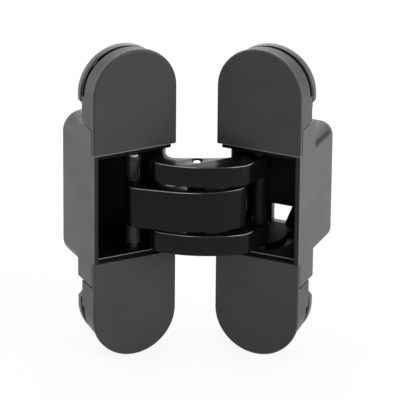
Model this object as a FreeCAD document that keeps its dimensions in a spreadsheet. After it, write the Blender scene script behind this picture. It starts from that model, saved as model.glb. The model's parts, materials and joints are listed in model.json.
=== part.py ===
import FreeCAD, Part
import math
import os
import re
import Sketcher

# Concealed door hinge: two mortised leaves joined by a scissor of three levers.
# Millimetres and degrees. Each leaf is drawn in its own frame: X runs across the leaf with
# the inner edge at +X, Y runs from the visible face into the timber, Z is up.

SIZES = {
    # leaf as a whole
    "leaf_width": 30.0,
    "seat_depth": 13.0,
    "box_end_a": 6.6,
    "box_end_b": 1.9,
    "box_corner_a": 6.5,
    "box_corner_b": 4.5,
    "box_round": 0.8,
    "shoulder_end": 8.9,
    # pocket in the housing
    "side_wall": 1.6,
    "back_wall": 2.3,
    "back_clear": 0.4,
    "box_extra_b": 3.3,
    "pocket_corner": 4.0,
    "sweep_relief": 0.9,
    "sweep_corner": 2.0,
    "window_inner": 9.2,
    "window_width": 7.4,
    "window_slant": 2.6,
    "window_height": 6.7,
    # covers
    "cover_thick": 1.4,
    "cover_gap": 0.5,
    "cover_clear": 0.15,
    "cover_round": 0.6,
    "skirt_clear": 1.2,
    "skirt_foot": 2.0,
    "skirt_step": 6.0,
    "skirt_drop": 1.6,
    "skirt_gap": 0.5,
    "post_width": 2.4,
    # end plates and their screws
    "plate_step": 3.7,
    "plate_reach": 8.0,
    "plate_drop": 2.2,
    "plate_thick": 2.2,
    "plate_nose": 3.5,
    "tongue_thick": 2.6,
    "tongue_width": 16.0,
    "tongue_tip": 5.2,
    "fixing_radius": 2.25,
    "fixing_head": 3.8,
    "fixing_across": 14.0,
    "fixing_inset": 4.59375,
    "clamp_radius": 2.5,
    "clamp_head": 4.2,
    "clamp_socket": 1.5,
    "clamp_short": 0.2,
    "clamp_rise": 4.0,
    # linkage, seen in plan
    "rest_degrees": 131.0,
    "full_degrees": 180.0,
    "slide_degrees": 91.0,
    "fold_share": 0.62,
    "closed_gap": 3.2,
    "pivot_inset": 4.0,
    "pivot_depth": 8.2,
    "short_leg": 18.4,
    "long_leg": 21.6,
    # levers, seen from the side and in plan
    "centre_half": 7.1,
    "lever_gap": 1.7,
    "outer_height": 7.2,
    "head_room": 1.9,
    "pivot_eye": 3.4,
    "slide_eye": 3.0,
    "elbow_outside": 4.2,
    "elbow_inside": 3.0,
    "lever_round": 0.5,
    # pins, bushes and tracks
    "pivot_pin": 2.0,
    "pin_anchor": 3.6,
    "centre_pin": 1.5,
    "pin_nose": 0.3,
    "pin_recess": 0.4,
    "recess_rim": 0.4,
    "slide_pin": 1.5,
    "sleeve_radius": 2.3,
    "sleeve_height": 7.5,
    "flange_radius": 2.55,
    "flange_thick": 0.8,
    "bush_wall": 0.6,
    "washer_radius": 3.1,
    "washer_play": 0.1,
    "thrust_radius": 3.0,
    "track_thick": 1.5,
    "track_front": 1.0,
    "guide_bush": 2.1,
    "guide_clear": 0.15,
    "guide_end": 0.2,
    "running_fit": 0.05,
    "screw_fit": 0.03,
}

# Heights above mid-height and depths behind the face that follow from the ones above.
DERIVED = {
    "track_face": "centre_half + lever_gap + outer_height + head_room",
    "pocket_half": "track_face + track_thick",
    "box_half_a": "pocket_half + box_end_a",
    "box_half_b": "pocket_half + box_end_b",
    "shoulder_half": "pocket_half + shoulder_end",
    "plate_low": "shoulder_half + plate_step",
    "clamp_up": "plate_low + clamp_rise",
    "leaf_half": "plate_low + plate_reach + leaf_width / 2",
    "fixing_rise": "sqrt((leaf_width / 2 - fixing_inset) ^ 2 - (fixing_across / 2) ^ 2)",
    "fixing_up": "leaf_half - leaf_width / 2 - plate_drop + fixing_rise",
    "skirt_depth": "seat_depth - plate_thick - skirt_clear - skirt_foot",
    "back_a": "long_leg * sin(slide_degrees) - closed_gap / 2 + slide_eye + back_clear",
    "back_b": "back_a + box_extra_b",
    "box_depth_a": "back_a + back_wall",
    "box_depth_b": "back_b + back_wall",
}

NAMES = re.compile(r"\b(" + "|".join([*SIZES, *DERIVED]) + r")\b")

doc = FreeCAD.newDocument("concealed_hinge")
sizes = doc.addObject("Spreadsheet::Sheet", "sizes")
for row, (alias, content) in enumerate([*SIZES.items(), *DERIVED.items()], start=1):
    sizes.set(f"A{row}", alias)
    sizes.set(f"B{row}", f"={content}" if alias in DERIVED else str(content))
    sizes.setAlias(f"B{row}", alias)
doc.recompute()


def bound(text):
    """Expression text with each size name pointed at the sheet."""
    return NAMES.sub(r"sizes.\1", text)


def value(text):
    """Number that an expression in the size names gives now."""
    result = sizes.evalExpression(bound(text))
    return float(getattr(result, "Value", result))


# Sketch helpers. A plan sketch lies across Z, a front sketch across Y, a side sketch across X.
PLAN, FRONT, SIDE = "XY_Plane", "XZ_Plane", "YZ_Plane"


def new_sketch(body, name, plane, offset):
    sketch = body.newObject("Sketcher::SketchObject", name)
    origin_plane = [item for item in body.Origin.OriginFeatures if item.Role == plane][0]
    sketch.AttachmentSupport = [(origin_plane, "")]
    sketch.MapMode = "FlatFace"
    sketch.setExpression("AttachmentOffset.Base.z", bound(offset))
    return sketch


def fix_point(sketch, geometry, end, x, y):
    """Hold one point of the geometry at x, y, both expressions."""
    for kind, text in (("DistanceX", x), ("DistanceY", y)):
        index = sketch.addConstraint(Sketcher.Constraint(kind, -1, 1, geometry, end, value(text)))
        sketch.setExpression(f"Constraints[{index}]", bound(text))


def draw_outline(sketch, corners):
    """Closed outline. A corner is (x, y), or (x, y, via_x, via_y) where an arc leaves it."""
    spots = [FreeCAD.Vector(value(corner[0]), value(corner[1]), 0) for corner in corners]
    edges = []
    for index, corner in enumerate(corners):
        start = spots[index]
        end = spots[(index + 1) % len(spots)]
        if len(corner) == 4:
            via = FreeCAD.Vector(value(corner[2]), value(corner[3]), 0)
            edge = sketch.addGeometry(Part.Arc(start, via, end), False)
        else:
            edge = sketch.addGeometry(Part.LineSegment(start, end), False)
        first = 1 if sketch.getPoint(edge, 1).distanceToPoint(start) < 1e-6 else 2
        edges.append((edge, first))
    for index, (edge, first) in enumerate(edges):
        following, following_first = edges[(index + 1) % len(edges)]
        sketch.addConstraint(Sketcher.Constraint("Coincident", edge, 3 - first, following, following_first))
        fix_point(sketch, edge, first, corners[index][0], corners[index][1])
    for (edge, first), corner in zip(edges, corners):
        if len(corner) == 4:
            spot = FreeCAD.Vector(value(corner[2]), value(corner[3]), 0)
            via_point = sketch.addGeometry(Part.Point(spot), True)
            fix_point(sketch, via_point, 1, corner[2], corner[3])
            sketch.addConstraint(Sketcher.Constraint("PointOnObject", via_point, 1, edge))


def draw_circle(sketch, x, y, radius):
    centre = FreeCAD.Vector(value(x), value(y), 0)
    circle = sketch.addGeometry(Part.Circle(centre, FreeCAD.Vector(0, 0, 1), value(radius)), False)
    fix_point(sketch, circle, 3, x, y)
    index = sketch.addConstraint(Sketcher.Constraint("Radius", circle, value(radius)))
    sketch.setExpression(f"Constraints[{index}]", bound(radius))


def draw_box(sketch, left, right, low, high):
    draw_outline(sketch, [(left, low), (right, low), (right, high), (left, high)])


# Feature helpers. Each takes the two coordinates that its feature runs between.
def finish_feature(feature, sketch, length, reverse):
    feature.Profile = sketch
    feature.setExpression("Length", bound(length))
    feature.Reversed = reverse
    doc.recompute()
    return feature


def add_plan(body, name, draw, low, high):
    sketch = new_sketch(body, name + "_sketch", PLAN, low)
    draw(sketch)
    return finish_feature(body.newObject("PartDesign::Pad", name), sketch, f"({high}) - ({low})", False)


def add_front(body, name, draw, near, far):
    sketch = new_sketch(body, name + "_sketch", FRONT, f"-({near})")
    draw(sketch)
    return finish_feature(body.newObject("PartDesign::Pad", name), sketch, f"({far}) - ({near})", True)


def cut(body, name, plane, offset, draw, length):
    """Pocket from a sketch, cutting against the sketch's normal, with its volume compared."""
    before = body.Shape.Volume
    sketch = new_sketch(body, name + "_sketch", plane, offset)
    draw(sketch)
    pocket = finish_feature(body.newObject("PartDesign::Pocket", name), sketch, length, False)
    if pocket.Shape.Volume >= before - 1e-6:
        raise RuntimeError(f"{body.Label}: {name} removed nothing")
    return pocket


def cut_plan(body, name, draw, low, high):
    return cut(body, name, PLAN, high, draw, f"({high}) - ({low})")


def cut_front(body, name, draw, near, far):
    return cut(body, name, FRONT, f"-({near})", draw, f"({far}) - ({near})")


def cut_side(body, name, draw, low, high):
    return cut(body, name, SIDE, high, draw, f"({high}) - ({low})")


def dress(body, kind, name, size, wanted):
    """Fillet or chamfer on the edges whose middle and direction the test accepts."""
    base = body.Tip
    chosen = [
        f"Edge{number}"
        for number, edge in enumerate(base.Shape.Edges, start=1)
        if wanted(edge, edge.valueAt((edge.FirstParameter + edge.LastParameter) / 2))
    ]
    if not chosen:
        raise RuntimeError(f"{body.Label}: {name} found no edge")
    feature = body.newObject("PartDesign::" + kind, name)
    feature.Base = (base, chosen)
    feature.setExpression("Radius" if kind == "Fillet" else "Size", bound(size))
    doc.recompute()
    return feature


def near(first, second):
    return abs(first - second) < 1e-4


def new_body(label, placement):
    body = doc.addObject("PartDesign::Body", label)
    body.Label = label
    body.Placement = placement
    return body


X_AXIS = FreeCAD.Vector(1, 0, 0)
Y_AXIS = FreeCAD.Vector(0, 1, 0)
Z_AXIS = FreeCAD.Vector(0, 0, 1)


def move(x, y, z):
    return FreeCAD.Placement(FreeCAD.Vector(x, y, z), FreeCAD.Rotation())


def turn(axis, angle):
    return FreeCAD.Placement(FreeCAD.Vector(0, 0, 0), FreeCAD.Rotation(axis, angle))


# The linkage in plan, in the frame of the fixed leaf.
HALF = value("leaf_width / 2")
PIVOT = FreeCAD.Vector(HALF - value("pivot_inset"), value("pivot_depth"), 0)
DIP = math.degrees(math.asin(value("(pivot_depth + closed_gap / 2) / short_leg")))
ELBOW = value("slide_degrees") + DIP


def swing(length, angle):
    return FreeCAD.Vector(math.cos(math.radians(angle)), math.sin(math.radians(angle)), 0) * length


def centre_at(opening):
    """Centre pin, which swings round the fixed pivot by its share of the opening."""
    return PIVOT + swing(value("short_leg"), value("fold_share") * opening + DIP - 180)


def slide_angle_at(opening):
    """Direction of the centre lever's long leg."""
    return value("slide_degrees") + (1 - value("fold_share")) * opening


def slide_at(opening):
    return centre_at(opening) + swing(value("long_leg"), slide_angle_at(opening))


def far_leaf_at(opening):
    """The moving leaf mirrors the fixed one in the line through the centre pin."""
    splay = 90 - opening / 2
    corner = FreeCAD.Vector(HALF, 0, 0)
    across = swing(1, -splay)
    gap = 2 * (centre_at(opening) - corner).dot(across)
    far_corner = corner + across * gap
    turned_over = turn(Z_AXIS, opening - 180) * turn(Y_AXIS, 180)
    return move(far_corner.x, far_corner.y, 0) * turned_over * move(-HALF, 0, 0)


REST = value("rest_degrees")
TO_ROW = move(0, -value("seat_depth"), 0)
OVER = turn(Y_AXIS, 180)
LEAF_A = TO_ROW
LEAF_B = TO_ROW * far_leaf_at(REST)
AT_CENTRE = TO_ROW * move(centre_at(REST).x, centre_at(REST).y, 0)
CENTRE_LEVER = AT_CENTRE * turn(Z_AXIS, slide_angle_at(REST))
OUTER_LEVER = AT_CENTRE * turn(Z_AXIS, REST - slide_angle_at(REST)) * turn(X_AXIS, 180)


# Heights of the stack of levers, counted from mid-height.
OUTER_LOW = "centre_half + lever_gap"
OUTER_HIGH = f"{OUTER_LOW} + outer_height"
BUSH_END = "pocket_half - guide_end"


def span(up, low, high):
    """A range of heights, on the upper side for up = 1 and mirrored below for up = -1."""
    return (low, high) if up > 0 else (f"-({high})", f"-({low})")


# Housing: one casting with a deep box, a full-width shoulder, a rim and two tongues.
def box_outline(sketch, half, corner):
    side, bend = "leaf_width / 2", f"{corner} * (1 - cos(45))"
    draw_outline(sketch, [
        (side, f"{corner} - {half}"),
        (side, f"{half} - {corner}", f"{side} - {bend}", f"{half} - {bend}"),
        (f"{side} - {corner}", half),
        (f"{corner} - {side}", half, f"{bend} - {side}", f"{half} - {bend}"),
        (f"-{side}", f"{half} - {corner}"),
        (f"-{side}", f"{corner} - {half}", f"{bend} - {side}", f"{bend} - {half}"),
        (f"{corner} - {side}", f"-{half}"),
        (f"{side} - {corner}", f"-{half}", f"{side} - {bend}", f"{bend} - {half}"),
    ])


def shoulder_outline(sketch):
    draw_box(sketch, "-leaf_width / 2", "leaf_width / 2", "-shoulder_half", "shoulder_half")


def rim_outline(sketch):
    draw_box(sketch, "-leaf_width / 2", "leaf_width / 2", "-pocket_half", "pocket_half")


def tongue_outline(sketch):
    draw_box(sketch, "-tongue_width / 2", "tongue_width / 2", TONGUE_END_LOW, TONGUE_END)


def pocket_outline(sketch, back):
    """Plan of the pocket: open at the face, with rounded corners at the back."""
    side = "(leaf_width / 2 - side_wall)"
    bend = "pocket_corner * (1 - cos(45))"
    draw_outline(sketch, [
        (f"-{side}", "-1"),
        (side, "-1"),
        (side, f"{back} - pocket_corner", f"{side} - {bend}", f"{back} - {bend}"),
        (f"{side} - pocket_corner", back),
        (f"pocket_corner - {side}", back, f"{bend} - {side}", f"{back} - {bend}"),
        (f"-{side}", f"{back} - pocket_corner"),
    ])


def sweep_outline(sketch):
    """Side view of the opening that lets the levers swing out past the inner edge."""
    deep = "(pivot_depth + pivot_eye + sweep_relief)"
    high = "pocket_half"
    bend = "sweep_corner * (1 - cos(45))"
    draw_outline(sketch, [
        ("-1", f"-{high}"),
        (f"{deep} - sweep_corner", f"-{high}", f"{deep} - {bend}", f"{bend} - {high}"),
        (deep, f"sweep_corner - {high}"),
        (deep, f"{high} - sweep_corner", f"{deep} - {bend}", f"{high} - {bend}"),
        (f"{deep} - sweep_corner", high),
        ("-1", high),
    ])


TONGUE_END = "clamp_up + tongue_tip"
TONGUE_END_LOW = f"-({TONGUE_END})"
TONGUE_NEAR = "seat_depth - plate_thick - tongue_thick"
TONGUE_FAR = "seat_depth - plate_thick"
COVER_EDGE = "pocket_half + cover_clear"
SKIRT_EDGE = "shoulder_half + skirt_gap"


def make_housing(label, placement, letter, window):
    body = new_body(label, placement)
    lip_seat = "cover_thick + cover_gap"
    half, corner = f"box_half_{letter}", f"box_corner_{letter}"
    box_depth, back = f"box_depth_{letter}", f"back_{letter}"
    add_front(body, "box", lambda sketch: box_outline(sketch, half, corner), lip_seat, box_depth)
    add_front(body, "shoulder", shoulder_outline, lip_seat, "seat_depth")
    add_front(body, "rim", rim_outline, "0", lip_seat)
    add_front(body, "tongues", tongue_outline, TONGUE_NEAR, TONGUE_FAR)
    dress(body, "Fillet", "box_edge", "box_round", lambda edge, mid: near(mid.y, value(box_depth)))
    cut_plan(body, "pocket", lambda sketch: pocket_outline(sketch, back), "-pocket_half", "pocket_half")
    cut_side(body, "sweep", sweep_outline, "leaf_width / 2 - side_wall - 1", "leaf_width / 2 + 1")
    bore_top = "pocket_half + pin_anchor"
    cut_plan(
        body,
        "pivot_bore",
        lambda sketch: draw_circle(sketch, "leaf_width / 2 - pivot_inset", "pivot_depth", "pivot_pin"),
        f"-({bore_top})",
        bore_top,
    )
    for name, height in (("upper_clamp", "clamp_up"), ("lower_clamp", "-clamp_up")):
        cut_front(
            body,
            name,
            lambda sketch: draw_circle(sketch, "0", height, "clamp_radius + running_fit * 2"),
            f"{TONGUE_NEAR} - 1",
            f"{TONGUE_FAR} + 1",
        )
    sink = "clamp_head - clamp_radius - running_fit * 2"
    dress(
        body,
        "Chamfer",
        "clamp_sinks",
        sink,
        lambda edge, mid: near(mid.y, value(TONGUE_NEAR))
        and edge.Curve.TypeId == "Part::GeomCircle"
        and abs(abs(edge.Curve.Center.z) - value("clamp_up")) < 1e-4,
    )
    if window:
        cut_front(body, "window", window_outline, f"{back} - 1", f"{box_depth} + 1")
    return body


def window_outline(sketch):
    """Opening through the back wall, beside the track."""
    low, high = "track_face - window_height", "track_face"
    inner = "leaf_width / 2 - window_inner"
    outer = f"{inner} - window_width"
    draw_outline(sketch, [(outer, low), (inner, low), (inner, high), (f"{outer} + window_slant", high)])


# End plates: the flanges that the leaf bears on, behind the covers.
def end_outline(sketch, inset, low, drop):
    """Rounded end of the leaf, inset all round and dropped at its end, down to the height low."""
    side = f"(leaf_width / 2 - {inset})"
    foot = f"(leaf_half - leaf_width / 2 - {drop})"
    draw_outline(sketch, [
        (side, low),
        (side, foot, "0", f"leaf_half - {drop} - {inset}"),
        (f"-{side}", foot),
        (f"-{side}", low),
    ])


def plate_outline(sketch):
    side, foot = "leaf_width / 2", "(leaf_half - leaf_width / 2 - plate_drop)"
    draw_outline(sketch, [
        (f"{side} - plate_nose", "plate_low"),
        (side, "plate_low + plate_nose"),
        (side, foot, "0", "leaf_half - plate_drop"),
        (f"-{side}", foot),
        (f"-{side}", "plate_low + plate_nose"),
        (f"plate_nose - {side}", "plate_low"),
    ])


def make_end_plate(label, placement):
    body = new_body(label, placement)
    add_front(body, "plate", plate_outline, "seat_depth - plate_thick", "seat_depth")
    cut_front(
        body,
        "clamp_thread",
        lambda sketch: draw_circle(sketch, "0", "clamp_up", "clamp_radius"),
        "seat_depth - plate_thick - 1",
        "seat_depth + 1",
    )

    def fixing_holes(sketch):
        draw_circle(sketch, "fixing_across / 2", "fixing_up", "fixing_radius")
        draw_circle(sketch, "-fixing_across / 2", "fixing_up", "fixing_radius")

    cut_front(body, "fixings", fixing_holes, "seat_depth - plate_thick - 1", "seat_depth + 1")
    dress(
        body,
        "Chamfer",
        "fixing_sinks",
        "fixing_head - fixing_radius",
        lambda edge, mid: near(mid.y, value("seat_depth - plate_thick"))
        and edge.Curve.TypeId == "Part::GeomCircle"
        and near(edge.Curve.Radius, value("fixing_radius")),
    )
    return body


# Covers: shells that clip over the screws, with a thin lip in front of the shoulder.
def make_cover(label, placement):
    body = new_body(label, placement)
    skirt_end = "skirt_depth + skirt_foot"
    add_front(body, "front", lambda sketch: end_outline(sketch, "0", COVER_EDGE, "0"), "0", "cover_thick")
    add_front(
        body,
        "skirt",
        lambda sketch: end_outline(sketch, "0", SKIRT_EDGE, "skirt_drop"),
        "cover_thick",
        "skirt_depth",
    )
    feet_top = "plate_low + skirt_step"
    add_front(
        body,
        "skirt_feet",
        lambda sketch: draw_box(sketch, "-leaf_width / 2", "leaf_width / 2", SKIRT_EDGE, feet_top),
        "skirt_depth",
        skirt_end,
    )
    cut_front(
        body,
        "hollow",
        lambda sketch: end_outline(sketch, "cover_thick", f"{SKIRT_EDGE} - 1", "skirt_drop"),
        "cover_thick",
        f"{skirt_end} + 1",
    )

    def posts(sketch):
        for side in ("", "-"):
            left, right = f"{side}(tongue_width / 2 - post_width)", f"{side}tongue_width / 2"
            if side:
                left, right = right, left
            draw_box(sketch, left, right, "plate_low", "plate_low + post_width")

    add_front(body, "posts", posts, "cover_thick", TONGUE_NEAR)
    dress(
        body,
        "Fillet",
        "front_edge",
        "cover_round",
        lambda edge, mid: near(mid.y, 0) and not near(mid.z, value(COVER_EDGE)),
    )
    return body


# Clamp screws hold the tongues to the end plates.
def make_clamp_screw(label, placement):
    body = new_body(label, placement)
    place_up = "clamp_up"
    head_end = f"{TONGUE_NEAR} + clamp_head - clamp_radius"
    add_front(
        body,
        "shank",
        lambda sketch: draw_circle(sketch, "0", place_up, "clamp_radius - screw_fit"),
        TONGUE_NEAR,
        "seat_depth - clamp_short",
    )
    add_front(
        body,
        "head",
        lambda sketch: draw_circle(sketch, "0", place_up, "clamp_head - screw_fit"),
        TONGUE_NEAR,
        head_end,
    )
    dress(
        body,
        "Chamfer",
        "head_cone",
        "clamp_head - clamp_radius - screw_fit",
        lambda edge, mid: near(mid.y, value(head_end))
        and near(edge.Curve.Radius, value("clamp_head - screw_fit")),
    )
    cut_front(
        body,
        "socket",
        lambda sketch: draw_hexagon(sketch, place_up, "clamp_socket"),
        f"{TONGUE_NEAR} - 1",
        f"{TONGUE_NEAR} + clamp_socket * 1.2",
    )
    return body


def draw_hexagon(sketch, height, across):
    """Hexagon centred on the leaf's middle line, with its flats at the distance across."""
    corners = []
    for step in range(6):
        angle = 60 * step
        corners.append((
            f"{across} / cos(30) * cos({angle})",
            f"{height} + {across} / cos(30) * sin({angle})",
        ))
    draw_outline(sketch, corners)


# Track plates: the slide pins run in a curved groove in each, at both ends of a pocket.
def track_outline(sketch, back):
    side = "(leaf_width / 2 - side_wall)"
    bend = "pocket_corner * (1 - cos(45))"
    draw_outline(sketch, [
        (f"-{side}", "track_front"),
        (side, "track_front"),
        (side, f"{back} - pocket_corner", f"{side} - {bend}", f"{back} - {bend}"),
        (f"{side} - pocket_corner", back),
        (f"pocket_corner - {side}", back, f"{bend} - {side}", f"{back} - {bend}"),
        (f"-{side}", f"{back} - pocket_corner"),
    ])


def groove_face():
    """Plan of the groove: the guide bush swept along the path of the slide pin."""
    reach = value("guide_bush + guide_clear")
    full = value("full_degrees")
    steps, nudge = 24, 0.01
    left, right = [], []
    for step in range(steps + 1):
        opening = full * step / steps
        spot = slide_at(opening)
        ahead = slide_at(opening + nudge) - slide_at(opening - nudge)
        ahead.normalize()
        side = FreeCAD.Vector(-ahead.y, ahead.x, 0) * reach
        left.append(spot + side)
        right.append(spot - side)
    one_side = Part.BSplineCurve()
    one_side.interpolate(left)
    other_side = Part.BSplineCurve()
    other_side.interpolate(right)
    open_spot, closed_spot = slide_at(full), slide_at(0)
    outward_open = (open_spot - slide_at(full - nudge)).normalize() * reach
    outward_closed = (closed_spot - slide_at(nudge)).normalize() * reach
    edges = [
        one_side.toShape(),
        Part.Arc(left[-1], open_spot + outward_open, right[-1]).toShape(),
        other_side.toShape(),
        Part.Arc(right[0], closed_spot + outward_closed, left[0]).toShape(),
    ]
    return Part.Face(Part.Wire(Part.sortEdges(edges)[0]))


def make_track_plate(label, placement, back, up):
    """Plate solid less its groove and less the bore that the pivot pin passes through."""
    low, high = span(up, "track_face", "pocket_half")
    outline = new_body(label + "_blank", FreeCAD.Placement())
    add_plan(outline, "plate", lambda sketch: track_outline(sketch, back), low, high)
    cut_plan(
        outline,
        "pin_bore",
        lambda sketch: draw_circle(sketch, "leaf_width / 2 - pivot_inset", "pivot_depth", "pivot_pin"),
        f"{low} - 1",
        f"{high} + 1",
    )
    groove_low, groove_high = span(up, "track_face - 1", "pocket_half + 1")
    groove = doc.addObject("Part::Feature", label + "_groove")
    face = groove_face()
    face.translate(FreeCAD.Vector(0, 0, value(groove_low)))
    groove.Shape = face.extrude(Z_AXIS * (value(groove_high) - value(groove_low)))
    plate = doc.addObject("Part::Cut", label)
    plate.Label = label
    plate.Base = outline
    plate.Tool = groove
    plate.Placement = placement
    doc.recompute()
    return plate


# Levers. Each is a bent bar with an eye at the fixed pivot, the centre pin and the slide pin.
# Its own frame has the centre pin at the origin and the slide pin along +X.
PIVOT_EYE_AT = f"short_leg * cos({ELBOW})", f"-short_leg * sin({ELBOW})"


def lever_outline(sketch):
    """Crescent: an eye round each end, joined by tangent arcs outside and inside the elbow."""
    along = FreeCAD.Vector(value(PIVOT_EYE_AT[0]), value(PIVOT_EYE_AT[1]), 0).normalize()
    across = FreeCAD.Vector(along.y, -along.x, 0)
    pivot_eye_at = along * value("short_leg")
    slide_eye_at = X_AXIS * value("long_leg")
    elbow = swing(1, 180 - ELBOW / 2)
    pivot_reach, slide_reach = value("pivot_eye"), value("slide_eye")
    corners = [
        slide_eye_at + Y_AXIS * slide_reach,
        pivot_eye_at + across * pivot_reach,
        pivot_eye_at - across * pivot_reach,
        slide_eye_at - Y_AXIS * slide_reach,
    ]
    passes = [
        elbow * value("elbow_outside"),
        pivot_eye_at + along * pivot_reach,
        elbow * -value("elbow_inside"),
        slide_eye_at + X_AXIS * slide_reach,
    ]
    arcs = []
    for index, via in enumerate(passes):
        start = corners[index]
        arc = sketch.addGeometry(Part.Arc(start, via, corners[(index + 1) % 4]), False)
        arcs.append((arc, 1 if near(sketch.getPoint(arc, 1).distanceToPoint(start), 0) else 2))
    eyes = {1: (*PIVOT_EYE_AT, "pivot_eye"), 3: ("long_leg", "0", "slide_eye")}
    for index, (x, y, radius) in eyes.items():
        fix_point(sketch, arcs[index][0], 3, x, y)
        held = sketch.addConstraint(Sketcher.Constraint("Radius", arcs[index][0], value(radius)))
        sketch.setExpression(f"Constraints[{held}]", bound(radius))
    for index, reach in ((0, "elbow_outside"), (2, "-elbow_inside")):
        via_point = sketch.addGeometry(Part.Point(passes[index]), True)
        fix_point(sketch, via_point, 1, f"-{reach} * cos({ELBOW / 2})", f"{reach} * sin({ELBOW / 2})")
        sketch.addConstraint(Sketcher.Constraint("PointOnObject", via_point, 1, arcs[index][0]))
    for index, (arc, first) in enumerate(arcs):
        following, following_first = arcs[(index + 1) % 4]
        sketch.addConstraint(Sketcher.Constraint("Tangent", arc, 3 - first, following, following_first))


def make_lever(label, placement, low, high, centre_bore, pivot_bore):
    body = new_body(label, placement)
    add_plan(body, "bar", lever_outline, low, high)
    dress(
        body,
        "Fillet",
        "bar_edges",
        "lever_round",
        lambda edge, mid: near(mid.z, value(low)) or near(mid.z, value(high)),
    )

    def bores(sketch):
        draw_circle(sketch, "0", "0", centre_bore)
        draw_circle(sketch, *PIVOT_EYE_AT, pivot_bore)
        draw_circle(sketch, "long_leg", "0", "slide_pin")

    cut_plan(body, "bores", bores, f"{low} - 1", f"{high} + 1")
    return body


def make_outer_lever(label, placement, up):
    low, high = span(up, OUTER_LOW, OUTER_HIGH)
    body = make_lever(label, placement, low, high, "centre_pin", "pivot_pin + running_fit")
    recess_low, recess_high = span(up, f"{OUTER_HIGH} - recess_rim", f"{OUTER_HIGH} + 1")
    cut_plan(
        body,
        "pin_recess_ring",
        lambda sketch: draw_circle(sketch, "0", "0", "centre_pin + recess_rim"),
        recess_low,
        recess_high,
    )
    return body


# Turned pieces: pins, bushes, sleeves and washers on an upright axis.
def make_ring(label, placement, steps):
    """Coaxial steps from (outer radius, inner radius or None, low, high), fused in one body."""
    body = new_body(label, placement)
    for number, (outer, inner, low, high) in enumerate(steps):

        def section(sketch):
            draw_circle(sketch, "0", "0", outer)
            if inner is not None:
                draw_circle(sketch, "0", "0", inner)

        add_plan(body, f"step_{number}", section, low, high)
    return body


def make_pin(label, placement, radius, end):
    """Plain pin of the given half-length, with its ends chamfered."""
    body = make_ring(label, placement, [(radius, None, f"-({end})", end)])
    dress(body, "Chamfer", "noses", "pin_nose", lambda edge, mid: near(abs(mid.z), value(end)))
    return body


def make_pair(prefix, placement, first, steps):
    """The same turned piece above and below mid-height; first is the upper one's local side."""
    pieces = []
    for word, up in (("top", first), ("bottom", -first)):
        placed = [(outer, inner, *span(up, low, high)) for outer, inner, low, high in steps]
        pieces.append(make_ring(f"{prefix}_{word}", placement, placed))
    return pieces


def make_leaf(letter, placement, upper, window):
    """Everything fixed to one leaf; upper is the local side that ends up on top."""
    pieces = [make_housing(f"housing_{letter}", placement, letter, window)]
    pieces.append(make_pin(
        f"pivot_pin_{letter}",
        placement * move(PIVOT.x, PIVOT.y, 0),
        "pivot_pin",
        "pocket_half + pin_anchor",
    ))
    for word, up in (("top", upper), ("bottom", -upper)):
        end = placement if up > 0 else placement * OVER
        pieces.append(make_end_plate(f"end_plate_{letter}_{word}", end))
        pieces.append(make_cover(f"cover_{letter}_{word}", end))
        pieces.append(make_clamp_screw(f"clamp_screw_{letter}_{word}", end))
        pieces.append(make_track_plate(f"track_plate_{letter}_{word}", placement, f"back_{letter}", up))
    return pieces


AT_SLIDE_A = CENTRE_LEVER * move(value("long_leg"), 0, 0)
AT_SLIDE_B = OUTER_LEVER * move(value("long_leg"), 0, 0)
AT_PIVOT_EYE = CENTRE_LEVER * move(value(PIVOT_EYE_AT[0]), value(PIVOT_EYE_AT[1]), 0)

PIN_RUN, PIN_RUN_OUT = "centre_pin + running_fit", "centre_pin + running_fit + bush_wall"
PIVOT_RUN, PIVOT_RUN_OUT = "pivot_pin + running_fit", "pivot_pin + running_fit + bush_wall"

parts = make_leaf("a", LEAF_A, 1, False)
parts += make_leaf("b", LEAF_B, -1, True)
parts += make_pair("thrust_washer_a", LEAF_A * move(PIVOT.x, PIVOT.y, 0), 1, [
    ("thrust_radius", "pivot_pin", f"{OUTER_HIGH} + running_fit", "track_face"),
])

# Outer levers turn on the fixed leaf and slide in the moving one.
parts.append(make_outer_lever("outer_lever_top", OUTER_LEVER, -1))
parts.append(make_outer_lever("outer_lever_bottom", OUTER_LEVER, 1))
parts.append(make_pin("centre_pin", AT_CENTRE, "centre_pin", f"{OUTER_HIGH} - pin_recess"))
parts.append(make_pin("slide_pin_b", AT_SLIDE_B, "slide_pin", BUSH_END))
parts.append(make_ring("spacer_sleeve_b", AT_SLIDE_B, [
    ("sleeve_radius", "slide_pin", f"-({OUTER_LOW})", OUTER_LOW),
]))
parts += make_pair("centre_washer", AT_CENTRE, 1, [
    ("washer_radius", "centre_pin", "centre_half + washer_play", OUTER_LOW),
])
parts += make_pair("guide_bush_b", AT_SLIDE_B, -1, [
    ("guide_bush", "slide_pin", "track_face + washer_play", BUSH_END),
])

# The centre lever turns on the moving leaf and slides in the fixed one.
parts.append(make_lever(
    "centre_lever", CENTRE_LEVER, "-centre_half", "centre_half", PIN_RUN_OUT, PIVOT_RUN_OUT,
))
parts.append(make_pin("slide_pin_a", AT_SLIDE_A, "slide_pin", BUSH_END))
SLEEVE_END = "centre_half + sleeve_height"
parts += make_pair("slide_sleeve_a", AT_SLIDE_A, 1, [
    ("sleeve_radius", "slide_pin", "centre_half", SLEEVE_END),
    ("flange_radius", "slide_pin", SLEEVE_END, f"{SLEEVE_END} + flange_thick"),
])
parts += make_pair("guide_bush_a", AT_SLIDE_A, 1, [
    ("guide_bush", "slide_pin", "track_face + washer_play", BUSH_END),
])
parts.append(make_ring("centre_bush", AT_CENTRE, [
    (PIN_RUN_OUT, PIN_RUN, "-centre_half", "centre_half"),
]))
parts.append(make_ring("pivot_bush_b", AT_PIVOT_EYE, [
    (PIVOT_RUN_OUT, PIVOT_RUN, "-centre_half", "centre_half"),
]))

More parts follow.
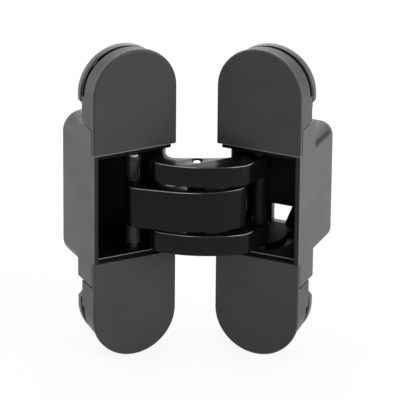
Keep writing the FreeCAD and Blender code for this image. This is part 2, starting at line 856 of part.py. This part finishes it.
doc.recompute()
for item in doc.Objects:
    if "Invalid" in item.State or "Error" in item.State:
        raise RuntimeError(f"{item.Label}: {item.State}")
os.makedirs("parts", exist_ok=True)
for part in parts:
    if part.Shape.isNull() or not part.Shape.isValid():
        raise RuntimeError(f"{part.Label} has no valid shape")
for part in parts:
    part.Shape.exportStep(f"parts/{part.Label}.step")
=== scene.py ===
import bmesh
import bpy
import json
import math
from mathutils import Matrix, Vector


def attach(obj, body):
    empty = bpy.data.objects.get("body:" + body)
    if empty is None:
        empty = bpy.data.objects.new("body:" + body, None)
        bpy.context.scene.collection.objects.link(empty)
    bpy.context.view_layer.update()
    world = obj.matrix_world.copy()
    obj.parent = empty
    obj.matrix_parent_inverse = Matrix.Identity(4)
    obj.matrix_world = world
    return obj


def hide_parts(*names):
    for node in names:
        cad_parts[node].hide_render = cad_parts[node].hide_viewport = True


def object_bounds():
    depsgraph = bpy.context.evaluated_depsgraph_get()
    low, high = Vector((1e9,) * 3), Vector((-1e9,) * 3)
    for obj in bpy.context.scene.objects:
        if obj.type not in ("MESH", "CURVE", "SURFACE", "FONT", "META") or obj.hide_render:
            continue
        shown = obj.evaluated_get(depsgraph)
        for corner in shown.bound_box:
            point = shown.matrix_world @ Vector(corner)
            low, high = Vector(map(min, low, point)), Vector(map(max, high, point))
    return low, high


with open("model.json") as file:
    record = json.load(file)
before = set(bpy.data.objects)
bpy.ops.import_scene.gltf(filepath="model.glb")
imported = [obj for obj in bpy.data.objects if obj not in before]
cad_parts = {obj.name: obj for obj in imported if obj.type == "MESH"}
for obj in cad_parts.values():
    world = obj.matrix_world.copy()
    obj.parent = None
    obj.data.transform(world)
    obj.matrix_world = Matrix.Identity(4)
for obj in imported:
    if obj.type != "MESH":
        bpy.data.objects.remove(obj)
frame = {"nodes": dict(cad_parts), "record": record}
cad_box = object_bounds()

MM = 0.001
SPLAY = math.radians(24.5)  # each leaf's turn from the plane that halves the opening
CORNER_GAP = 13.4  # millimetres between the leaves' inner corners
HALF_LEAF = 15.0
SEAT_DEPTH = 13.0  # millimetres from a leaf's face to the plane where its end plates bear
BOX_BACK = {"a": 0.02345, "b": 0.02675}  # metres from a leaf's face to just past its pocket's back

nodes = frame["nodes"]
slot_of = {row["node"]: row["material_slot"] for row in frame["record"]["subparts"]}


# Places. The halving plane's frame has X across, Y away from the camera and Z up.
def turned(x, y, z):
    """Direction from the halving plane's frame to the row frame."""
    return Vector((
        x * math.cos(SPLAY) + y * math.sin(SPLAY),
        y * math.cos(SPLAY) - x * math.sin(SPLAY),
        z,
    ))


def placed(x, y, z):
    """Point in millimetres from the halving plane's frame to metres in the row frame."""
    return (Vector((HALF_LEAF, -SEAT_DEPTH, 0)) + turned(x + CORNER_GAP / 2, y, z)) * MM


def on_leaf(letter, x, depth, height):
    """Point in millimetres from the middle of one leaf's face to metres in the row frame."""
    across = math.cos(SPLAY) * (x - HALF_LEAF) - math.sin(SPLAY) * depth - CORNER_GAP / 2
    back = math.sin(SPLAY) * (x - HALF_LEAF) + math.cos(SPLAY) * depth
    return placed(across if letter == "a" else -across, back, height)


def add_object(name, data):
    made = bpy.data.objects.new(name, data)
    bpy.context.scene.collection.objects.link(made)
    return made


# Camera, fitted to the outlines of both leaves in the photograph.
CAMERA_AT = -25.23, -1340.83, 594.57
PITCH, ROLL, YAW = math.radians(23.95), math.radians(0.54), math.radians(1.13)
FOCAL_PIXELS, IMAGE_PIXELS, SENSOR = 4411.4, 400, 36.0

forward = turned(
    math.sin(YAW) * math.cos(PITCH), math.cos(YAW) * math.cos(PITCH), -math.sin(PITCH)
).normalized()
level = turned(math.cos(YAW), -math.sin(YAW), 0).normalized()
upward = level.cross(forward)
right = math.cos(ROLL) * level + math.sin(ROLL) * upward
upright = math.cos(ROLL) * upward - math.sin(ROLL) * level
camera = add_object("camera", bpy.data.cameras.new("camera"))
facing = Matrix((right, upright, -forward)).transposed().to_4x4()
camera.matrix_world = Matrix.Translation(placed(*CAMERA_AT)) @ facing
camera.data.sensor_width = SENSOR
camera.data.lens = FOCAL_PIXELS / IMAGE_PIXELS * SENSOR
camera.data.clip_start, camera.data.clip_end = 0.05, 20
bpy.context.scene.camera = camera


# Shader helpers. Each value is a plain number, vector or colour, or the socket that gives it.
def feed(tree, socket, value):
    if isinstance(value, bpy.types.NodeSocket):
        tree.links.new(value, socket)
    else:
        socket.default_value = value


def add_node(tree, kind, **values):
    """New node; a value's name is its input's, with an underscore for each space."""
    node = tree.nodes.new("ShaderNode" + kind)
    for name, value in values.items():
        feed(tree, node.inputs[name.replace("_", " ")], value)
    return node


def calculated(tree, operation, first, second):
    node = tree.nodes.new("ShaderNodeMath")
    node.operation = operation
    feed(tree, node.inputs[0], first)
    feed(tree, node.inputs[1], second)
    return node.outputs[0]


def times(tree, first, second):
    return calculated(tree, "MULTIPLY", first, second)


def ramp(tree, source, low, high, start=0.3, end=0.7):
    """Value that goes from low to high as the source goes from start to end."""
    limits = {"From_Min": start, "From_Max": end, "To_Min": low, "To_Max": high}
    return add_node(tree, "MapRange", Value=source, **limits).outputs["Result"]


def within(tree, source, low, high, soft=0.00005):
    """1 where the source lies between low and high, in the source's own unit."""
    rise = ramp(tree, source, 0, 1, low - soft, low + soft)
    fall = ramp(tree, source, 1, 0, high - soft, high + soft)
    return times(tree, rise, fall)


def mixed(tree, factor, first, second):
    """Colour that goes from first to second as the factor goes from 0 to 1."""
    mix = tree.nodes.new("ShaderNodeMix")
    mix.data_type = "RGBA"
    feed(tree, mix.inputs["Factor"], factor)
    for name, colour in (("A", first), ("B", second)):
        plain = not isinstance(colour, bpy.types.NodeSocket)
        feed(tree, mix.inputs[name], (*colour, 1) if plain else colour)
    return mix.outputs["Result"]


def noise(tree, scale, detail, stretch=(1, 1, 1)):
    """Noise on the object's own coordinates, in metres."""
    where = add_node(tree, "TexCoord").outputs["Object"]
    spread = add_node(tree, "Mapping", Vector=where, Scale=stretch).outputs["Vector"]
    return add_node(
        tree, "TexNoise", Vector=spread, Scale=scale, Detail=detail, Roughness=0.55
    ).outputs["Fac"]


def axes(tree, turn=0.0, middle=Vector((0, 0, 0))):
    """Three coordinates in metres, counted from a middle point and turned about the vertical."""
    where = add_node(tree, "TexCoord").outputs["Object"]
    shift = -(Matrix.Rotation(turn, 3, "Z") @ middle)
    local = add_node(tree, "Mapping", Vector=where, Rotation=(0, 0, turn), Location=shift)
    return add_node(tree, "SeparateXYZ", Vector=local.outputs["Vector"]).outputs


def leaf_axes(tree, letter):
    """Across, depth and height in metres on one leaf, counted from the middle of its face."""
    turn = 0.0
    if letter == "b":
        across = turned(math.cos(SPLAY), -math.sin(SPLAY), 0)
        turn = -math.atan2(across.y, across.x)
    return axes(tree, turn, on_leaf(letter, 0, 0, 0))


def height_mask(tree, low, high):
    return within(tree, axes(tree)[2], low, high, 0.00002)


def pocket_shade_mask(tree, letter):
    """1 on the walls of the leaf's pocket, which are painted near-black as painted shade."""
    x, depth, height = leaf_axes(tree, letter)
    inside = times(tree, within(tree, x, -0.0147, 0.0147), within(tree, height, -0.01945, 0.01945))
    return times(tree, inside, within(tree, depth, -0.001, BOX_BACK[letter]))


def edge_mask(tree):
    """Near 1 along outside edges, from how far a rounded normal leans from the true one."""
    rounded = add_node(tree, "Bevel", Radius=0.00035)
    rounded.samples = 6
    lean = tree.nodes.new("ShaderNodeVectorMath")
    lean.operation = "DOT_PRODUCT"
    tree.links.new(rounded.outputs["Normal"], lean.inputs[0])
    tree.links.new(add_node(tree, "NewGeometry").outputs["Normal"], lean.inputs[1])
    return ramp(tree, lean.outputs["Value"], 1, 0, 0.90, 0.995)


# Materials.
def new_material(name):
    material = bpy.data.materials.new(name)
    material.use_nodes = True
    tree = material.node_tree
    return material, tree, tree.nodes["Principled BSDF"]


def surface(tree, shader, base, roughness, relief, strength, distance):
    bump = add_node(tree, "Bump", Height=relief, Strength=strength, Distance=distance)
    feed(tree, shader.inputs["Base Color"], base)
    feed(tree, shader.inputs["Roughness"], roughness)
    feed(tree, shader.inputs["Normal"], bump.outputs["Normal"])


def coated(name, colour, roughness, grain, depth, specular=0.5, worn_and_highlight=None, pocket=None):
    """Stoved finish: orange peel, cloudy gloss, and edges lighter from wear and painted highlight.
    """
    material, tree, shader = new_material(name)
    darker = tuple(c * 0.86 for c in colour)
    lighter = tuple(min(1, c * 1.14) for c in colour)
    base = mixed(tree, ramp(tree, noise(tree, 55, 4), 0, 1), darker, lighter)
    # Edges painted lighter: partly wear, partly painted highlight.
    if worn_and_highlight:
        edge_patches = ramp(tree, noise(tree, 900, 5), 0.25, 1, 0.35, 0.6)
        base = mixed(tree, times(tree, edge_mask(tree), edge_patches), base, worn_and_highlight)
    # The pocket's walls are painted near-black: painted shade.
    if pocket:
        base = mixed(tree, pocket_shade_mask(tree, pocket), base, (0.004, 0.004, 0.0042))
    shader.inputs["Specular IOR Level"].default_value = specular
    peel = noise(tree, grain, 3)
    gloss = ramp(tree, peel, roughness * 0.85, roughness * 1.15)
    surface(tree, shader, base, gloss, peel, depth, 0.00005)
    return material


def metal(name, colour, roughness, stretch):
    """Turned or ground steel, with fine tool marks along or round the piece."""
    material, tree, shader = new_material(name)
    darker = tuple(c * 0.8 for c in colour)
    base = mixed(tree, ramp(tree, noise(tree, 160, 3), 0, 1), darker, colour)
    shader.inputs["Metallic"].default_value = 1
    marks = noise(tree, 900, 4, stretch)
    gloss = ramp(tree, marks, roughness * 0.75, roughness * 1.3)
    surface(tree, shader, base, gloss, marks, 0.25, 0.00003)
    return material


def painted_highlight(material, mask, colour):
    """Mixes a lighter colour, a painted highlight, over the material's own where the mask is 1."""
    tree = material.node_tree
    base = tree.nodes["Principled BSDF"].inputs["Base Color"]
    tree.links.new(mixed(tree, mask, base.links[0].from_socket, colour), base)
    return material


def lever_look():
    """Gloss black, with painted highlights along the front's edges and a duller bend at the right.
    """
    material = coated("lever_coat", (0.004, 0.004, 0.0043), 0.25, 5200, 0.08, specular=0.14)
    tree = material.node_tree
    normal = add_node(tree, "NewGeometry").outputs["Normal"]
    rise = add_node(tree, "SeparateXYZ", Vector=normal).outputs["Z"]
    x, y, _ = axes(tree, SPLAY, placed(0, 0, 0))
    # Painted highlight on the rounded edges at the front, faded in the middle.
    shoulder = within(tree, rise, 0.3, 0.9, 0.06)
    front = within(tree, y, -0.02, -0.0085, 0.0008)
    ends = ramp(tree, within(tree, x, 0.0, 0.011, 0.002), 1, 0.15, 0, 1)
    glint_highlight = times(tree, times(tree, shoulder, front), ends)
    painted_highlight(material, glint_highlight, (0.42, 0.42, 0.42))
    gloss = tree.nodes["Principled BSDF"].inputs["Roughness"]
    bend = ramp(tree, within(tree, x, 0.0148, 0.0172, 0.0005), 0.2, 0.55, 0, 1)
    tree.links.new(calculated(tree, "MAXIMUM", gloss.links[0].from_socket, bend), gloss)
    return material


# The last colour is the lighter edge colour: partly wear, partly painted highlight.
COVER_LOOK = (0.0385, 0.0380, 0.0381), 0.40, 3400, 0.25, 0.27, (0.09, 0.09, 0.09)
HOUSING_LOOK = (0.067, 0.065, 0.062), 0.42, 3000, 0.3, 0.27, (0.14, 0.135, 0.13)
PLATE_LOOK = (0.05, 0.049, 0.047), 0.36, 3000, 0.3, 0.5, (0.14, 0.14, 0.135)
looks = {
    "cover": coated("cover_coat", *COVER_LOOK),
    "end_plate": coated("plate_coat", *PLATE_LOOK),
    "track": coated("track_coat", (0.005, 0.005, 0.0053), 0.45, 3000, 0.2, specular=0.06),
    "lever": lever_look(),
    "sleeve": coated("sleeve_coat", (0.034, 0.034, 0.035), 0.24, 4200, 0.12, specular=0.2),
    "bearing": coated("bearing_polymer", (0.010, 0.010, 0.010), 0.5, 2600, 0.3, specular=0.3),
    "pin": metal("pin_steel", (0.62, 0.61, 0.59), 0.22, (1, 1, 14)),
    "clamp_screw": metal("screw_steel", (0.28, 0.27, 0.26), 0.35, (6, 6, 6)),
    "spacer_sleeve_b": coated(
        "spacer_coat", (0.004, 0.004, 0.0043), 0.5, 4200, 0.12, specular=0.1
    ),
}
for name in ("slide_pin_b", "pivot_pin_a", "pivot_pin_b"):
    looks[name] = looks["bearing"]
for letter in "ab":
    looks[f"housing_{letter}"] = coated(f"housing_coat_{letter}", *HOUSING_LOOK, pocket=letter)

    # Painted highlights on the lower track plate's front edge and the upper cover's lower edge.
    track = coated(f"track_coat_{letter}", (0.003, 0.003, 0.0032), 0.6, 3000, 0.2, specular=0.05)
    tree = track.node_tree
    front = within(tree, leaf_axes(tree, letter)[1], 0.0, 0.00125)
    front_edge_highlight = times(tree, front, height_mask(tree, -0.0181, 0.0181))
    looks[f"track_plate_{letter}_bottom"] = painted_highlight(track, front_edge_highlight, (0.22, 0.22, 0.22))

    cover = coated(f"cover_coat_{letter}", *COVER_LOOK)
    rim_highlight = height_mask(cover.node_tree, 0.0193, 0.01972)
    looks[f"cover_{letter}_top"] = painted_highlight(cover, rim_highlight, (0.30, 0.30, 0.30))
# Slide pin A: painted dark as painted shade, with a painted highlight ring at its flange's top.
shaded_pin = coated("slide_pin_coat", (0.030, 0.030, 0.031), 0.3, 4200, 0.12, specular=0.2)
ring_highlight = height_mask(shaded_pin.node_tree, 0.0154, 0.0161)
looks["slide_pin_a"] = painted_highlight(shaded_pin, ring_highlight, (0.75, 0.75, 0.74))
for name, node in nodes.items():
    node.data.materials.clear()
    node.data.materials.append(looks.get(name) or looks[slot_of[name]])


# Levers with the flatter front and tighter bends that the photograph shows. They stand for the
# frame's own, whose fronts are rounder. Outlines in millimetres in the halving plane's frame.
CENTRE_AT, PIVOT_AT, SLIDE_AT = (0.0, -6.53), (-13.74, 5.80), (20.98, -1.04)
LEVER_ROUND = 0.00024
BORE_POINTS = 12
INNER_SIDE = [
    (18.6, 0.8), (15.5, -1.6), (11.0, -3.6), (5.0, -4.25), (0.0, -4.3), (-5.0, -4.25),
    (-8.6, -3.5), (-10.2, -0.5), (-10.4, 3.0), (-10.6, 7.0), (-13.7, 9.2), (-16.3, 8.1),
]
OUTER_FRONT = [
    (-17.1, 5.8), (-16.4, 3.1), (-16.2, 0.6), (-15.8, -3.5), (-14.5, -7.4), (-13.0, -8.8),
    (-10.2, -10.1), (-6.0, -11.5), (0.5, -12.5), (7.3, -12.5), (12.6, -11.8), (16.8, -10.2),
    (19.0, -7.6), (21.3, -5.0), (23.3, -3.1), (24.0, -1.0), (23.1, 1.1), (20.98, 1.96),
]
CENTRE_FRONT = [
    (-17.1, 5.8), (-16.4, 3.1), (-16.3, 0.6), (-16.4, -3.5), (-16.0, -7.2), (-14.8, -9.2),
    (-11.6, -10.9), (-7.5, -12.2), (-0.5, -13.1), (5.6, -12.7), (10.6, -11.7), (15.5, -10.5),
    (18.6, -9.7), (21.6, -8.6), (23.4, -6.4), (24.0, -3.0), (23.9, -0.8), (23.1, 1.1),
    (20.98, 1.96),
]
OUTER_BORES = [(CENTRE_AT, 1.75), (PIVOT_AT, 2.1), (SLIDE_AT, 1.52)]
CENTRE_BORES = [(CENTRE_AT, 2.15), (PIVOT_AT, 2.65), (SLIDE_AT, 1.52)]


def lever_piece(node, body, outline, mirror, low, high, bores):
    """Bar cut from an outline, with its bores and rounded edges, in place of a node."""
    name = f"{node}_form"
    flat = bpy.data.curves.new(name, "CURVE")
    flat.dimensions = "2D"
    flat.fill_mode = "BOTH"
    flat.extrude = (high - low) / 2 * MM - LEVER_ROUND
    flat.bevel_depth = LEVER_ROUND
    flat.bevel_resolution = 2
    flat.offset = -LEVER_ROUND
    flat.resolution_u = 8
    loops = [outline]
    for (x, y), radius in bores:
        angles = [2 * math.pi * step / BORE_POINTS for step in range(BORE_POINTS)]
        if mirror == -1:
            angles = [math.pi - angle for angle in angles]
        loops.append([(x + radius * math.cos(a), y + radius * math.sin(a)) for a in angles])
    for loop in loops:
        spline = flat.splines.new("BEZIER")
        spline.bezier_points.add(len(loop) - 1)
        spline.use_cyclic_u = True
        for point, (x, y) in zip(spline.bezier_points, loop):
            spot = placed(x * mirror, y, 0)
            point.co = (spot.x, spot.y, 0)
            point.handle_left_type = point.handle_right_type = "AUTO"
    holder = add_object(f"{name}_outline", flat)
    bpy.context.view_layer.update()
    cut = holder.evaluated_get(bpy.context.evaluated_depsgraph_get())
    mesh = bpy.data.meshes.new_from_object(cut)
    bpy.data.objects.remove(holder)
    mesh.transform(Matrix.Translation((0, 0, (low + high) / 2 * MM)))
    mesh.materials.clear()
    mesh.materials.append(looks["lever"])
    piece = add_object(name, mesh)
    weld = piece.modifiers.new("weld", "WELD")
    weld.merge_threshold = 1e-6
    mesh.polygons.foreach_set("use_smooth", [True] * len(mesh.polygons))
    mesh.set_sharp_from_angle(angle=math.radians(40))
    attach(piece, body)
    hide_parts(node)


OUTER_OUTLINE = OUTER_FRONT + INNER_SIDE
lever_piece("outer_lever_top", "outer_levers", OUTER_OUTLINE, 1, 8.8, 16.0, OUTER_BORES)
lever_piece("outer_lever_bottom", "outer_levers", OUTER_OUTLINE, 1, -16.0, -8.8, OUTER_BORES)
lever_piece("centre_lever", "centre_lever", CENTRE_FRONT + INNER_SIDE, -1, -7.1, 7.1, CENTRE_BORES)


# Thin dark ribs round the ends, between the cover's skirt and the end plate, in millimetres.
PLATE_FRONT = 10.8
RIB_FOOT, RIB_CENTRE = 33.5, 38.4
RIB_STEPS = 40


def rib_piece(name, letter, up, outer, wall, near):
    """Band that follows the round end and stands on the end plate."""
    inner = outer - wall
    corners = (outer, near), (outer, PLATE_FRONT), (inner, PLATE_FRONT), (inner, near)
    path = [(math.pi * (1 - step / RIB_STEPS), RIB_CENTRE) for step in range(RIB_STEPS + 1)]
    form = bmesh.new()
    rings = [
        [
            form.verts.new(
                on_leaf(letter, r * math.cos(angle), depth, up * (height + r * math.sin(angle)))
            )
            for r, depth in corners
        ]
        for angle, height in [(math.pi, RIB_FOOT), *path, (0.0, RIB_FOOT)]
    ]
    for first, second in zip(rings, rings[1:]):
        for side in range(4):
            after = (side + 1) % 4
            form.faces.new((first[side], first[after], second[after], second[side]))
    form.faces.new(rings[0])
    form.faces.new(rings[-1])
    bmesh.ops.recalc_face_normals(form, faces=form.faces)
    mesh = bpy.data.meshes.new(name)
    form.to_mesh(mesh)
    form.free()
    mesh.materials.append(looks["sleeve"])
    piece = add_object(name, mesh)
    edge = piece.modifiers.new("edge", "BEVEL")
    edge.width = 0.1 * MM
    edge.segments = 2
    edge.limit_method = "ANGLE"
    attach(piece, f"leaf_{letter}")


for letter in "ab":
    for word, up in (("top", 1), ("bottom", -1)):
        rib_piece(f"skirt_rib_{letter}_{word}", letter, up, 13.5, 0.45, 7.65)
        rib_piece(f"plate_rib_{letter}_{word}", letter, up, 14.5, 0.4, 10.0)


# Small rounds along the edges of the frame's own pieces, where light catches, in millimetres.
EDGE = {
    "cover": 0.22, "housing": 0.25, "end_plate": 0.25, "track": 0.15, "lever": 0.12, "pin": 0.08,
}
for name, node in nodes.items():
    weld = node.modifiers.new("weld", "WELD")
    weld.merge_threshold = 1e-6
    width = EDGE.get(slot_of[name])
    if width:
        bevel = node.modifiers.new("edge", "BEVEL")
        bevel.width = width * MM
        bevel.segments = 2
        bevel.limit_method = "ANGLE"
        bevel.angle_limit = math.radians(35)
        bevel.harden_normals = False
    node.data.polygons.foreach_set("use_smooth", [True] * len(node.data.polygons))
    keep = node.modifiers.new("shade", "WEIGHTED_NORMAL")
    keep.keep_sharp = True


# Light, aimed at the middle of the object. Places in millimetres, sizes in metres.
def lamp(name, spot, size, power, colour=(1, 1, 1)):
    light = bpy.data.lights.new(name, "AREA")
    light.shape = "RECTANGLE"
    light.size, light.size_y = size
    light.energy = power
    light.color = colour
    holder = add_object(name, light)
    holder.location = placed(*spot)
    holder.rotation_mode = "QUATERNION"
    direction = placed(0, 0, 0) - placed(*spot)
    holder.rotation_quaternion = direction.to_track_quat("-Z", "Y")


WARM = 1, 0.985, 0.96
lamp("key", (440, -380, 230), (0.5, 0.4), 2.1)
lamp("left", (-480, 90, 150), (0.45, 0.6), 1.6, WARM)
lamp("right", (480, -60, 120), (0.45, 0.6), 1.55, WARM)
lamp("above", (0, 60, 560), (0.6, 0.4), 1.4)
lamp("behind", (0, 520, 260), (0.8, 0.4), 1.8)


# White background and floor.
def seen(tree):
    """1 for what the camera, a reflection or glass shows, 0 for light that falls on the object."""
    rays = add_node(tree, "LightPath").outputs
    either = calculated(tree, "MAXIMUM", rays["Is Camera Ray"], rays["Is Glossy Ray"])
    return calculated(tree, "MAXIMUM", either, rays["Is Transmission Ray"])


world = bpy.data.worlds.new("studio")
bpy.context.scene.world = world
world.use_nodes = True
tree = world.node_tree
background = tree.nodes["Background"]
background.inputs["Color"].default_value = (1, 1, 1, 1)
feed(tree, background.inputs["Strength"], ramp(tree, seen(tree), 0.20, 1.0, 0, 1))

FLOOR_REACH = 3.0
middle = placed(0, 0, 0)
mesh = bpy.data.meshes.new("floor")
corners = [
    (middle.x + x * FLOOR_REACH, middle.y + y * FLOOR_REACH, cad_box[0].z)
    for x, y in ((-1, -1), (1, -1), (1, 1), (-1, 1))
]
mesh.from_pydata(corners, [], [(0, 1, 2, 3)])
floor = add_object("floor", mesh)
material, tree, shader = new_material("floor_paper")
shader.inputs["Base Color"].default_value = (0.9, 0.9, 0.9, 1)
shader.inputs["Roughness"].default_value = 0.9
glow = add_node(tree, "Emission", Color=(1, 1, 1, 1), Strength=seen(tree))
blend = add_node(tree, "MixShader", Fac=ramp(tree, seen(tree), 0.0, 0.89, 0, 1))
tree.links.new(shader.outputs["BSDF"], blend.inputs[1])
tree.links.new(glow.outputs["Emission"], blend.inputs[2])
tree.links.new(blend.outputs["Shader"], tree.nodes["Material Output"].inputs["Surface"])
mesh.materials.append(material)

bpy.context.scene.view_settings.view_transform = "Standard"
